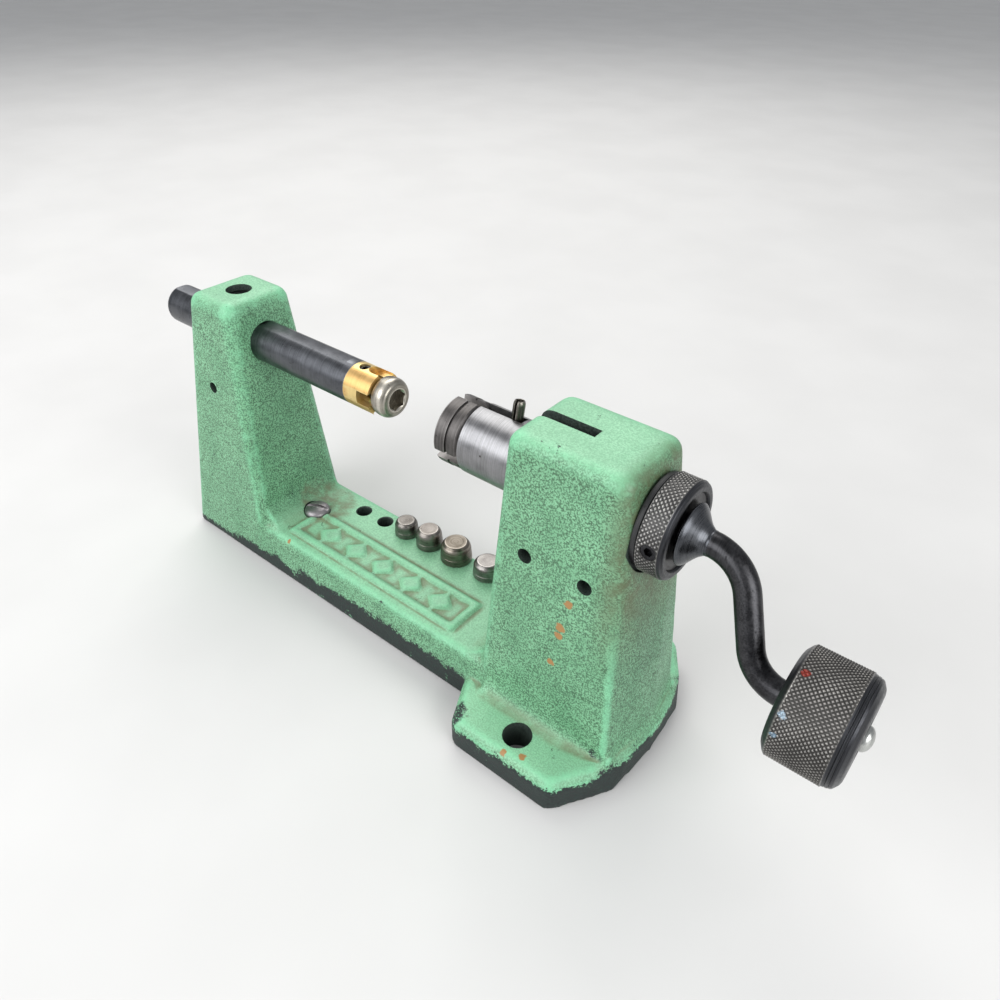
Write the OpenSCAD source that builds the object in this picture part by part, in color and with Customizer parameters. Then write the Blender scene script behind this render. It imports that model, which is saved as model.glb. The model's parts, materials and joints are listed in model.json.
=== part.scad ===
// Hand-cranked bench lathe for trimming cartridge cases.
// +X runs along the spindle towards the crank, +Y to the back, +Z up.
// The origin is on the bench face, midway between the two bolt holes of the foot.

/* [Casting] */
// Height of the spindle line above the bench
axis_h = 78; // [60:1:110]
// Width of the base bar at the bench
base_w = 37.2; // [30:0.2:50]
// Thickness of the base bar
base_t = 16.5; // [12:0.5:22]
// Left end of the base bar
base_left = -157.3; // [-180:0.1:-140]
// Left end of the top of the tail pillar
tail_top_left = -142; // [-165:0.1:-130]
// Inner face of the top of the tail pillar
tail_top_right = -121.2; // [-130:0.1:-110]
// Inner face of the foot of the tail pillar
tail_foot_right = -116.4; // [-125:0.1:-105]
// Height of the top of the tail pillar
tail_h = 92.2; // [80:0.1:125]
// Width of the top of the tail pillar
tail_top_w = 24.4; // [18:0.2:34]
// Inner face of the foot of the head pillar
head_foot_left = -20.5; // [-30:0.1:-12]
// Crank-side end of the foot of the head pillar
head_foot_right = 26.2; // [20:0.1:35]
// Inner face of the top of the head pillar
head_top_left = -16.6; // [-25:0.1:-10]
// Crank-side face of the top of the head pillar
head_top_right = 16.9; // [10:0.1:25]
// Height of the top of the head pillar
head_h = 93.5; // [80:0.1:125]
// Width of the top of the head pillar
head_top_w = 26; // [20:0.2:36]
// Rounding of the pillar tops
pillar_r = 3.8; // [2:0.1:6]
// Thickness of the bolting foot
foot_t = 10; // [7:0.5:14]
// Overall width of the bolting foot
foot_w = 66.8; // [56:0.2:80]
// Distance between the two bolt holes
bolt_span = 50.8; // [44:0.1:60]
// Diameter of the bolt holes
bolt_d = 8.2; // [5:0.1:10]

/* [Cutter side] */
// Diameter of the cutter shaft
shaft_d = 12.7; // [10:0.1:16]
// Left end of the cutter shaft
shaft_left = -165.7; // [-185:0.1:-150]
// Right end of the cutter shaft
shaft_right = -79.2; // [-95:0.1:-65]
// Length of the cutter
cutter_l = 9.8; // [7:0.1:14]
// Diameter of the fitted pilot
fitted_pilot_d = 11.6; // [7:0.1:12]
// Size of the hexagon socket across the flats
hex_af = 5.6; // [4:0.1:6.5]

/* [Spindle side] */
// Outside diameter of the spindle sleeve
sleeve_d = 19.05; // [16:0.05:24]
// Front end of the spindle sleeve
sleeve_front = -34; // [-40:0.1:-28]
// Front end of the collet
collet_front = -41.8; // [-46:0.1:-38]
// Rest angle of the spindle slot from straight up, towards the back
spindle_angle = 11; // [0:1:30]
// Diameter of the collet pin
pin_d = 3.1; // [2.4:0.1:4]
// Outside diameter of the stop collar
collar_d = 24.3; // [22:0.1:30]
// Left side of the stop collar
collar_left = 19; // [18.5:0.1:22]
// Width of the stop collar
collar_w = 6.8; // [5:0.1:10]

/* [Crank] */
// Rest angle of the crank from straight down, towards the front
crank_angle = 23; // [0:1:45]
// Throw of the crank
crank_throw = 23.7; // [18:0.1:40]
// Diameter of the crank rod
rod_d = 6.1; // [5:0.1:8]
// Diameter of the knob
knob_d = 25.8; // [20:0.1:32]
// Left face of the knob
knob_left = 57.2; // [50:0.1:75]
// Length of the knob
knob_l = 16.6; // [12:0.1:26]

/* [Stored pilots] */
// Distance of the row's first hole behind the spindle line
row_y = 10.5; // [8:0.05:13]
// Position of the first hole of the row
row_x = -96.5; // [-100:0.1:-90]
// Distance between the small holes of the row
row_pitch = 10; // [9:0.1:12]
// How far the row moves back from hole to hole
row_slant = 0.52; // [0:0.02:0.6]
// Extra distance between the holes of the larger pilots
row_widen = 1.4; // [0:0.1:2]
// Diameter of the storage holes
store_d = 5.1; // [4:0.1:6]

/* [Hidden] */
fine = 32;
round_fn = 96;
base_top_w = base_w - 3;
shaft_r = shaft_d / 2;
sleeve_r = sleeve_d / 2;
fit_gap = 0.05;
pin_r = pin_d / 2;
slot_w = pin_d + 0.3;
pin_x = -23.6;
pin_top = 14.1;
lock_x = -131;
lock_r = 3.9;
cutter_left = shaft_right;
cutter_right = cutter_left + cutter_l;
flute_left = cutter_right - 4.4;
collar_right = collar_left + collar_w;
sleeve_right = collar_right - 0.6;
hub_left = collar_right + 0.25;
hub_base_r = 7.65;
rod_r = rod_d / 2;
hub_right = hub_left + 4.8;
bend_x = hub_right + 0.6;
bend_r1 = 12.2;
bend_r2 = 10.2;
bend_a = 66;
leg_drop = crank_throw - (bend_r1 + bend_r2) * (1 - cos(bend_a));
leg_l = leg_drop / sin(bend_a);
leg_x = bend_x + bend_r1 * sin(bend_a);
leg_z = -bend_r1 * (1 - cos(bend_a));
turn_x = leg_x + leg_l * cos(bend_a) + bend_r2 * sin(bend_a);
knob_right = knob_left + knob_l;
knob_pin_r = 2.1;
hold_x = -109;
hold_head_r = 4.4;
hold_r = 2.4;
seat_x = collar_left - 1.3;
seat_r = 12.8;
slot_left = -30;
slot_right = 0.7;
store_depth = 11;
flat_depth = 0.35;
stem_hole_r = 2.45;
spigot_r = 4;
tail_rod_r = 4;
head_hole_r = 2.05;
head_hole_x = [-7.8, 9.6];
head_hole_z = 62.3;
tail_hole_r = 1.8;
tail_hole_x = -134.1;
tail_hole_z = 62.7;
collar_screw_a = 100;
pillar_foot_r = 2;
cutter_screw_x = cutter_left + 3.2;

// A turned shape: its profile lies along the local z, which is laid along +X at the spindle height
module turned() {
    translate([0, 0, axis_h])
        rotate([0, 90, 0])
            rotate_extrude($fn = round_fn)
                children();
}

// A cylinder along +X on the spindle line
module bar_x(x0, x1, r) {
    translate([x0, 0, axis_h])
        rotate([0, 90, 0])
            cylinder(h = x1 - x0, r = r, $fn = round_fn);
}

// Turns a shape about the spindle line
module about_axis(a) {
    translate([0, 0, axis_h])
        rotate([a, 0, 0])
            translate([0, 0, -axis_h])
                children();
}

// Centre of storage hole k, counted from the tail; the gaps widen with the pilots
function row_at(k) =
    [row_x + k * row_pitch + (k > 3 ? row_widen * (k - 3) * (k - 2) / 2 : 0), row_y + k * row_slant, 0];

// Four rounded corners of a pillar top and four crisper upright ones of its foot
module pillar(foot_x0, foot_x1, top_x0, top_x1, top_wide, h) {
    hull() {
        for (x = [foot_x0 + pillar_foot_r, foot_x1 - pillar_foot_r])
            for (s = [-1, 1])
                translate([x, s * (base_w / 2 - pillar_foot_r), 0])
                    cylinder(h = 1, r = pillar_foot_r, $fn = fine);
        for (x = [top_x0 + pillar_r, top_x1 - pillar_r])
            for (s = [-1, 1])
                translate([x, s * (top_wide / 2 - pillar_r), h - pillar_r])
                    sphere(r = pillar_r, $fn = fine);
    }
}

// The bar between the pillars, with a slight draft and softened upper edges
module base_bar() {
    edge_r = 2.2;
    hull() {
        for (x = [base_left + 6, 0])
            for (s = [-1, 1]) {
                translate([x, s * (base_w / 2 - 1), 0])
                    cylinder(h = 1, r = 1, $fn = fine);
                translate([x, s * (base_top_w / 2 - edge_r), base_t - edge_r])
                    sphere(r = edge_r, $fn = fine);
            }
    }
}

// The bolting foot: two lugs and a bowed end under the crank
module foot() {
    corner_r = 4;
    lip = 2;
    half = foot_w / 2 - corner_r;
    spots = [[-14.8, half], [13.8, half], [19.6, 20.5], [22.5, 10.5], [23.4, 0], [-22.5, 14.2]];
    hull() {
        for (p = spots)
            for (s = [-1, 1])
                translate([p[0], s * p[1], 0]) {
                    cylinder(h = foot_t - lip, r = corner_r, $fn = fine);
                    cylinder(h = foot_t, r = corner_r - lip, $fn = fine);
                }
    }
}

// A hollowed corner strip that runs along y where an upright face meets the base bar
module root_fillet(x0, side, width, r) {
    steps = 5;
    arc = [for (k = [0:steps]) [side * r * (1 - sin(90 * k / steps)), r * (1 - cos(90 * k / steps))]];
    translate([x0, width / 2, base_t - 0.2])
        rotate([90, 0, 0])
            linear_extrude(height = width)
                polygon(concat([[-side * 2, 0]], arc, [[-side * 2, r]]));
}

// The raised border on the base bar, with five plain lozenges inside it
module panel() {
    x0 = -107.6;
    x1 = -34.8;
    y0 = -13;
    y1 = 0.75;
    rim = 1.7;
    raised = 0.8;
    sink = 0.5;
    first_x = -95;
    pitch = 12.4;
    lozenge_r = 4.2;
    translate([0, 0, base_t - sink]) {
        difference() {
            translate([x0, y0, 0])
                cube([x1 - x0, y1 - y0, sink + raised]);
            translate([x0 + rim, y0 + rim, -1])
                cube([x1 - x0 - 2 * rim, y1 - y0 - 2 * rim, sink + raised + 2]);
            translate([hold_x, 0, -1])
                cylinder(h = sink + raised + 2, r = hold_head_r + 0.8, $fn = round_fn);
        }
        for (k = [0:4])
            translate([first_x + k * pitch, (y0 + y1) / 2, 0])
                cylinder(h = sink + raised * 0.8, r = lozenge_r, $fn = 4);
    }
}

module frame_casting() {
    bore_left = base_left - 20;
    color([0.47, 0.75, 0.58])
        difference() {
            union() {
                base_bar();
                foot();
                pillar(base_left, tail_foot_right, tail_top_left, tail_top_right, tail_top_w, tail_h);
                pillar(head_foot_left, head_foot_right, head_top_left, head_top_right, head_top_w, head_h);
                root_fillet(tail_foot_right - 0.9, 1, base_top_w - 5, 8);
                root_fillet(head_foot_left + 0.7, -1, base_top_w - 5, 6);
                panel();
            }
            // shaft bore of the tail pillar
            bar_x(bore_left, tail_foot_right + 10, shaft_r + fit_gap);
            // spindle bore of the head pillar
            bar_x(head_foot_left - 10, head_foot_right + 10, sleeve_r + fit_gap);
            // flat seat round the bore for the thrust washer
            bar_x(seat_x, head_foot_right + 10, seat_r);
            // slot over the spindle bore that takes the collet pin
            translate([slot_left, -slot_w / 2, axis_h])
                cube([slot_right - slot_left, slot_w, 30]);
            // hole for the screw that locks the shaft
            translate([lock_x, 0, axis_h])
                cylinder(h = 30, r = lock_r + fit_gap, $fn = round_fn);
            // bolt holes of the foot
            for (s = [-1, 1])
                translate([0, s * bolt_span / 2, -1])
                    cylinder(h = foot_t + 2, r = bolt_d / 2, $fn = round_fn);
            // hole for the hold-down screw
            translate([hold_x, 0, -1])
                cylinder(h = base_t + 2, r = hold_r + fit_gap, $fn = round_fn);
            // spot-face for its head, in the root of the tail pillar
            translate([hold_x, 0, base_t])
                cylinder(h = 12, r = hold_head_r + 0.25, $fn = round_fn);
            // storage holes for the pilots
            for (k = [0:5])
                translate(row_at(k) + [0, 0, base_t - store_depth])
                    cylinder(h = 20, r = store_d / 2, $fn = round_fn);
            // threaded holes for accessories in the front faces
            for (x = head_hole_x)
                translate([x, -4.5, head_hole_z])
                    rotate([90, 0, 0])
                        cylinder(h = 20, r = head_hole_r, $fn = round_fn);
            translate([tail_hole_x, -8.5, tail_hole_z])
                rotate([90, 0, 0])
                    cylinder(h = 12, r = tail_hole_r, $fn = round_fn);
        }
}

module hold_down_screw() {
    dome_r = 5.6;
    dome_h = 2.6;
    color([0.7, 0.7, 0.72])
        translate([hold_x, 0, 0])
            difference() {
                union() {
                    translate([0, 0, 1.5])
                        cylinder(h = base_t, r = hold_r, $fn = round_fn);
                    translate([0, 0, base_t])
                        intersection() {
                            cylinder(h = dome_h, r = hold_head_r, $fn = round_fn);
                            translate([0, 0, dome_h - dome_r])
                                sphere(r = dome_r, $fn = round_fn);
                        }
                }
                translate([-5, -0.6, base_t + 1.3])
                    cube([10, 1.2, 5]);
            }
}

module cutter_shaft() {
    edge = 0.8;
    color([0.27, 0.28, 0.3])
        difference() {
            turned()
                polygon([
                    [0, shaft_left], [shaft_r - edge, shaft_left], [shaft_r, shaft_left + edge],
                    [shaft_r, shaft_right], [0, shaft_right]
                ]);
            // flat along the top for the lock screw
            translate([shaft_left - 1, -10, axis_h + shaft_r - flat_depth])
                cube([shaft_right - shaft_left - 3, 20, 5]);
            // socket that takes the spigot of the cutter
            bar_x(shaft_right - 9, shaft_right + 1, spigot_r);
        }
}

// The cutting end, with four teeth cut by windows, and a spigot that sits in the shaft
module cutter() {
    color([0.85, 0.7, 0.38])
        difference() {
            union() {
                bar_x(cutter_left, cutter_right, shaft_r);
                bar_x(cutter_left - 8.5, cutter_left, spigot_r);
            }
            // bore for the pilot stem
            bar_x(cutter_left - 10, cutter_right + 1, stem_hole_r);
            // recess between the teeth and the pilot
            bar_x(flute_left, cutter_right + 1, 4.3);
            // windows that leave four teeth
            for (a = [20, 110, 200, 290])
                about_axis(a)
                    translate([flute_left, 0.9, axis_h + 2.5])
                        cube([cutter_l, 4.6, 8]);
            // hole for the set screw
            translate([cutter_screw_x, 0, axis_h])
                cylinder(h = 10, r = 1.6, $fn = round_fn);
        }
}

module cutter_set_screw() {
    color([0.3, 0.3, 0.31])
        translate([cutter_screw_x, 0, axis_h + 2.75])
            difference() {
                cylinder(h = 3.1, r = 1.55, $fn = round_fn);
                translate([0, 0, 1.8])
                    cylinder(h = 3, r = 0.85, $fn = 6);
            }
}

module cutter_pilot() {
    r = fitted_pilot_d / 2;
    x0 = cutter_right + 0.5;
    color([0.75, 0.75, 0.74])
        difference() {
            turned()
                polygon([
                    [0, cutter_left - 5], [2.35, cutter_left - 5], [2.35, x0 - 0.3],
                    [r - 2.2, x0 - 0.3], [r - 0.35, x0], [r, x0 + 1.4], [r, x0 + 3.2],
                    [r - 0.5, x0 + 4.5], [r - 1.1, x0 + 5], [0, x0 + 5]
                ]);
            translate([x0 + 1.8, 0, axis_h])
                rotate([0, 90, 0])
                    cylinder(h = 10, r = hex_af / sqrt(3), $fn = 6);
        }
}

module shaft_lock_screw() {
    z0 = axis_h + shaft_r - flat_depth + 0.02;
    h = 6.2;
    color([0.4, 0.41, 0.43])
        translate([lock_x, 0, z0])
            difference() {
                cylinder(h = h, r = lock_r, $fn = round_fn);
                translate([0, 0, h - 2.6])
                    cylinder(h = 5, r = 2.2, $fn = 6);
            }
}

module spindle_sleeve() {
    bore_r = 7.6;
    mouth_r = 8.95;
    slot_end = pin_x + pin_r + 0.9;
    color([0.78, 0.78, 0.78])
        about_axis(-spindle_angle)
            difference() {
                turned()
                    polygon([
                        [mouth_r, sleeve_front], [sleeve_r - 0.25, sleeve_front],
                        [sleeve_r, sleeve_front + 0.25], [sleeve_r, sleeve_right],
                        [4.6, sleeve_right], [4.6, sleeve_right - 10],
                        [bore_r, sleeve_right - 10], [bore_r, sleeve_front + 1.6]
                    ]);
                translate([sleeve_front - 1, -slot_w / 2, axis_h + 3])
                    cube([slot_end - sleeve_front + 1, slot_w, 12]);
            }
}

// Three jaws on a slotted body that the drawbar pulls into the sleeve
module collet() {
    body_r = 7.52;
    head_r = 9.4;
    rear = -2;
    cone_x0 = sleeve_front - 1.1;
    cone_x1 = sleeve_front + 1.14;
    saw = 2.8;
    saw_end = pin_x - 3.1;
    color([0.34, 0.34, 0.33])
        about_axis(-spindle_angle)
            difference() {
                turned()
                    polygon([
                        [6.3, collet_front], [head_r - 0.3, collet_front], [head_r, collet_front + 0.3],
                        [head_r, collet_front + 3.5], [head_r - 0.45, collet_front + 3.6],
                        [head_r - 0.45, collet_front + 4.1], [head_r - 0.1, collet_front + 4.2],
                        [head_r - 0.1, cone_x0], [body_r - 0.1, cone_x1], [body_r, cone_x1 + 0.4],
                        [body_r, rear], [4.1, rear], [4.1, rear - 14], [5.4, rear - 16],
                        [5.4, collet_front + 4], [5.9, collet_front + 2.2], [6, collet_front + 0.5]
                    ]);
                for (a = [0, 120, 240])
                    about_axis(a)
                        translate([collet_front - 1, -saw / 2, axis_h + 2])
                            cube([saw_end - collet_front + 1, saw, 12]);
                // hole that holds the foot of the pin
                translate([pin_x, 0, axis_h + 3])
                    cylinder(h = 10, r = pin_r + 0.02, $fn = round_fn);
            }
}

// A rolled spring pin that stands up through the slot of the sleeve
module collet_pin() {
    foot_z = axis_h + 5.6;
    color([0.6, 0.59, 0.57])
        about_axis(-spindle_angle)
            difference() {
                translate([pin_x, 0, foot_z])
                    cylinder(h = pin_top + axis_h - foot_z, r = pin_r, $fn = round_fn);
                translate([pin_x, 0, foot_z - 1])
                    cylinder(h = 20, r = pin_r - 0.55, $fn = round_fn);
                translate([pin_x, -2, foot_z - 1])
                    cube([0.5, 2, 20]);
            }
}

module stop_collar() {
    r = collar_d / 2;
    c = 0.7;
    bore = sleeve_r + 0.02;
    color([0.22, 0.22, 0.23])
        about_axis(-spindle_angle)
            difference() {
                turned()
                    polygon([
                        [bore, collar_left], [r - c, collar_left], [r, collar_left + c],
                        [r, collar_right - c], [r - c, collar_right], [bore + 0.2, collar_right],
                        [bore + 0.2, collar_right - 0.6], [bore, collar_right - 0.6]
                    ]);
                translate([(collar_left + collar_right) / 2, 0, axis_h])
                    rotate([collar_screw_a, 0, 0])
                        cylinder(h = 30, r = 1.95, $fn = round_fn);
            }
}

module stop_collar_screw() {
    z0 = sleeve_r + 0.02;
    h = 2.1;
    color([0.18, 0.18, 0.19])
        about_axis(-spindle_angle)
            translate([(collar_left + collar_right) / 2, 0, axis_h])
                rotate([collar_screw_a, 0, 0])
                    translate([0, 0, z0])
                        difference() {
                            cylinder(h = h, r = 1.9, $fn = round_fn);
                            translate([0, 0, 0.9])
                                cylinder(h = 3, r = 1.15, $fn = 6);
                        }
}

module thrust_washer() {
    x0 = collar_left - 1.25;
    x1 = collar_left - 0.02;
    color([0.1, 0.1, 0.11])
        turned()
            polygon([[sleeve_r + 0.1, x0], [11.6, x0], [11.6, x1], [sleeve_r + 0.1, x1]]);
}

// The rod inside the spindle that screws into the tail of the collet
module drawbar() {
    color([0.45, 0.45, 0.46])
        turned()
            polygon([
                [0, -14.5], [3.5, -14.5], [tail_rod_r, -14], [tail_rod_r, -1], [4.5, -0.5],
                [4.5, sleeve_right], [tail_rod_r, sleeve_right], [tail_rod_r, hub_left + 2],
                [0, hub_left + 2]
            ]);
}

module crank_hub() {
    color([0.3, 0.31, 0.33])
        difference() {
            turned()
                polygon([
                    [0, hub_left], [hub_base_r - 0.3, hub_left], [hub_base_r, hub_left + 0.4],
                    [hub_base_r - 0.3, hub_left + 0.9], [rod_r + 0.5, hub_right - 0.4],
                    [rod_r + 0.1, hub_right], [0, hub_right]
                ]);
            bar_x(hub_left - 1, hub_left + 2, tail_rod_r);
        }
}

// A round rod bent twice so that its far end runs parallel to the spindle.
// The straight stretches lap a little into the bends.
module crank_arm() {
    lap = 0.3;
    straight_r = rod_r + 0.02;
    color([0.24, 0.25, 0.27])
        about_axis(-crank_angle)
            translate([0, 0, axis_h]) {
                translate([hub_right, 0, 0])
                    rotate([0, 90, 0])
                        cylinder(h = bend_x - hub_right + lap, r = straight_r, $fn = round_fn);
                translate([bend_x, 0, -bend_r1])
                    rotate([90, bend_a - 90, 0])
                        rotate_extrude(angle = bend_a, $fn = round_fn)
                            translate([bend_r1, 0])
                                circle(r = rod_r, $fn = round_fn);
                translate([leg_x, 0, leg_z])
                    rotate([0, 90 + bend_a, 0])
                        translate([0, 0, -lap])
                            cylinder(h = leg_l + 2 * lap, r = straight_r, $fn = round_fn);
                translate([turn_x, 0, bend_r2 - crank_throw])
                    rotate([90, 90 + bend_a, 0])
                        rotate_extrude(angle = bend_a, $fn = round_fn)
                            translate([bend_r2, 0])
                                circle(r = rod_r, $fn = round_fn);
                translate([turn_x - lap, 0, -crank_throw])
                    rotate([0, 90, 0])
                        cylinder(h = knob_left - 0.3 - turn_x + lap, r = straight_r, $fn = round_fn);
            }
}

// Places a turned shape on the line of the knob
module on_knob_line() {
    about_axis(-crank_angle)
        translate([0, 0, -crank_throw])
            turned()
                children();
}

module crank_knob() {
    r = knob_d / 2;
    bore = knob_pin_r + fit_gap;
    color([0.25, 0.25, 0.25])
        on_knob_line()
            polygon([
                [bore, knob_left], [r - 1.6, knob_left], [r - 0.5, knob_left + 0.8],
                [r, knob_left + 1.6], [r, knob_right - 3.2], [r - 0.35, knob_right - 2.8],
                [r - 0.45, knob_right - 1.5], [r - 1.6, knob_right - 0.5],
                [r - 2.6, knob_right], [4.4, knob_right], [4.1, knob_right - 0.6],
                [bore, knob_right - 0.6]
            ]);
}

// The riveted pin that the knob turns on
module knob_pin() {
    head_r = 2.9;
    x0 = knob_right - 0.3;
    color([0.75, 0.76, 0.76])
        on_knob_line()
            polygon([
                [0, knob_left - 0.3], [knob_pin_r, knob_left - 0.3], [knob_pin_r, x0],
                [head_r, x0], [head_r, x0 + 0.6], [head_r * 0.9, x0 + 1.2],
                [head_r * 0.66, x0 + 1.75], [head_r * 0.34, x0 + 2.1], [0, x0 + 2.2]
            ]);
}

// A case pilot standing in its storage hole
module stored_pilot(k, d, h) {
    r = d / 2;
    stem_r = 2.47;
    color([0.5, 0.49, 0.46])
        translate(row_at(k) + [0, 0, base_t])
            rotate_extrude($fn = round_fn)
                polygon([
                    [0, -9.5], [stem_r - 0.4, -9.5], [stem_r, -9], [stem_r, 0], [r - 0.2, 0],
                    [r, 0.3], [r * 0.97, h * 0.62], [r * 0.9, h * 0.84], [r * 0.72, h], [0, h]
                ]);
}

module stored_pilot_1() {
    stored_pilot(2, 8.1, 5.7);
}

module stored_pilot_2() {
    stored_pilot(3, 9, 6.8);
}

module stored_pilot_3() {
    stored_pilot(4, 10.4, 7);
}

module stored_pilot_4() {
    stored_pilot(5, 9.4, 5.9);
}

frame_casting();
hold_down_screw();
cutter_shaft();
cutter();
cutter_set_screw();
cutter_pilot();
shaft_lock_screw();
spindle_sleeve();
collet();
collet_pin();
stop_collar();
stop_collar_screw();
thrust_washer();
drawbar();
crank_hub();
crank_arm();
crank_knob();
knob_pin();
stored_pilot_1();
stored_pilot_2();
stored_pilot_3();
stored_pilot_4();
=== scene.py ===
"""The looks of a hand-cranked case trimming lathe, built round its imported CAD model.

Shapes are worked out in millimetres in the CAD frame (+X along the spindle to the crank, +Y back, +Z up)
and turned into metres when a piece is made.
"""

import json
import math

import bmesh
import bpy
import numpy as np
from mathutils import Matrix, Vector, kdtree


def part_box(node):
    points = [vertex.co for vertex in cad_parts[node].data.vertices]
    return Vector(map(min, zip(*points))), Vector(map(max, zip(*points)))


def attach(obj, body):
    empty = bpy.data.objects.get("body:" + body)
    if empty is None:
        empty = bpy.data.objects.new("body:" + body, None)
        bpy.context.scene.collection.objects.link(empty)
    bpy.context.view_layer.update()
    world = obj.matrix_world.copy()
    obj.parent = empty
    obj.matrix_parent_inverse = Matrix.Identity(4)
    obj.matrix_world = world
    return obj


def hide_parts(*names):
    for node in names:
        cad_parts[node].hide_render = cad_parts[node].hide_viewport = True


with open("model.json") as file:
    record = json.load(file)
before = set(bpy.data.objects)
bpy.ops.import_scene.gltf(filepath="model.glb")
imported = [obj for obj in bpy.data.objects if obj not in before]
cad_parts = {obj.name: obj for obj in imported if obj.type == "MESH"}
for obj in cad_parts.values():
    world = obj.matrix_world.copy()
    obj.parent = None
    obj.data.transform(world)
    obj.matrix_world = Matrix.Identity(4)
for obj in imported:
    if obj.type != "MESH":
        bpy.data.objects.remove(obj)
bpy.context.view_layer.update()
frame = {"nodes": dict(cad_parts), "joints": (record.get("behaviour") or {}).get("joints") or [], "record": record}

MM = 0.001
record = frame["record"]
mounts = {m["name"]: m for m in record["mounts"]}
joints = {j["name"]: j for j in frame["joints"]}
body_of_node = {n: body for body, nodes in record["behaviour"]["bodies"].items() for n in nodes}


def span(node):
    """Lowest and highest corner of a CAD node, in millimetres."""
    low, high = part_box(node)
    return low / MM, high / MM


def middle(node):
    low, high = span(node)
    return (low + high) / 2


def half_width(node):
    """The radius of a turned CAD node."""
    low, high = span(node)
    return (high.y - low.y) / 2


# ---------------------------------------------------------------- sizes, in millimetres

# lines that pieces turn about
AXIS_H = joints["spindle_spin"]["pos_m"][2] / MM
SPINDLE_LINE = Vector((0, 0, AXIS_H))
KNOB_LINE = Vector(joints["knob_spin"]["pos_m"]) / MM
KNOB_LINE.x = 0
CRANK_ANGLE = math.atan2(-KNOB_LINE.y, AXIS_H - KNOB_LINE.z)
CRANK_THROW = math.hypot(KNOB_LINE.y, AXIS_H - KNOB_LINE.z)
# the collet's pin, the slot for it, and how far round the spindle stands
PIN_LOW, PIN_HIGH = span("collet_pin")
PIN_X = (PIN_LOW.x + PIN_HIGH.x) / 2
PIN_R = (PIN_HIGH.x - PIN_LOW.x) / 2
PIN_SLOT = 2 * PIN_R + 0.3
SPINDLE_ANGLE = math.radians(11)
# the casting's tops, the pillars' feet at the gap, half the bar's width and the bolting foot's left end
STORAGE = mounts["storage_hole_1"]
BASE_TOP = STORAGE["pos_m"][2] / MM + STORAGE["dims"]["length_mm"] / 2
FOOT_TOP = 2 * mounts["bench_bolts"]["pos_m"][2] / MM
TAIL_FOOT = -116.4
HEAD_FOOT = -20.5
BASE_HALF = 18.6
FOOT_LEFT = HEAD_FOOT - 6.1
# gaps round a piece in its bore and a stem in its hole, the reach of a through cut, points across a diamond
FIT = 0.05
STEM_GAP = 0.08
THROUGH = 60
KNURL_STEPS = 6

# the casting's colours: pairs are mixed by a noise
PAINT_LIGHT = (0.165, 0.405, 0.225, 1), (0.225, 0.500, 0.290, 1)
# dark speck colour: the paint's own specks and painted shade of its bumps
PAINT_SPECK_AND_BUMP_SHADE = (0.040, 0.105, 0.052, 1), (0.068, 0.175, 0.090, 1)
# painted highlight for faces that look up
PAINT_TOP_HIGHLIGHT = (0.360, 0.720, 0.460, 1)
# paler green for edges that stand out: rubbed paint and a painted highlight
PAINT_RUBBED_AND_LIT_EDGE = (0.235, 0.640, 0.370, 1)
DIRT_IN_HOLLOWS = (0.150, 0.150, 0.075, 1)
GRIME_AT_HEAD = (0.095, 0.105, 0.050, 1)
STAIN_AT_TAIL = (0.150, 0.140, 0.075, 1)
WORN_BLACK = (0.005, 0.009, 0.009, 1), (0.018, 0.036, 0.030, 1)
BLACK_SPOT = (0.016, 0.026, 0.024, 1)
PRIMER = (0.360, 0.190, 0.065, 1)
# marks on the paint: place and radius
SPOTS = ((19, -15, 10), 4.2), ((-18.5, -30, 9.5), 4.0), ((-61, -18.2, 15.4), 1.6)
CHIPS = ((6, -15.2, 55), 1.5), ((4.6, -15.8, 46.4), 1.6), ((4.3, -16, 43.8), 1.3), ((3, -16.6, 33.6), 1.2)
CHIPS += ((0.1, -32, 10), 1.3), ((5.1, -29.9, 10), 1.2), ((-104.6, -16.6, 16), 0.9)


# ---------------------------------------------------------------- finishes


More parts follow.
